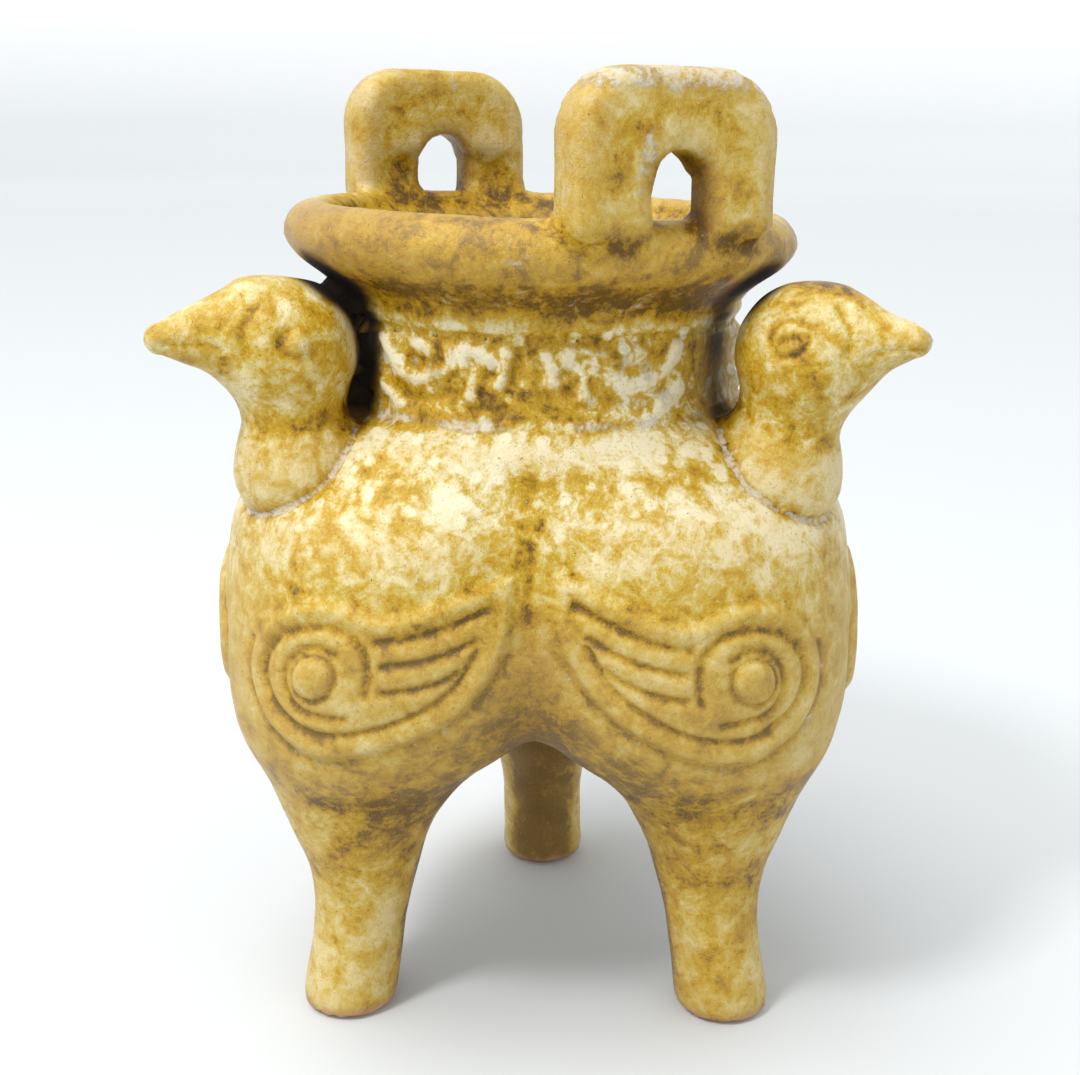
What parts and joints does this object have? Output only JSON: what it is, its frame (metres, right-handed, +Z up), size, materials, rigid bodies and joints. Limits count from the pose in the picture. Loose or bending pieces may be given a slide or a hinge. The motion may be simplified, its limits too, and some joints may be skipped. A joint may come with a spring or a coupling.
{
  "type": "pottery censer",
  "caption": "Tripod pottery censer of joined bird-shaped lobes with upright loop handles, column legs, outward beaks, carved wings and a mottled yellow-brown glaze.",
  "frame": {"origin": "bottom centre of the bounding box, on the floor under the feet; the vessel axis stands 10 mm behind it, towards +Y", "axes": "+Z up; -Y is the way the front bird faces; the loop handles stand on the lip at -X and +X"},
  "size_m": [0.1102, 0.106, 0.1501],
  "materials": {
    "yellow_glaze": "mottled yellow-brown glaze, glossy where it is thick, dull where it is worn"
  },
  "bodies": {
    "root": {"censer": "yellow_glaze"}
  },
  "joints": []
}
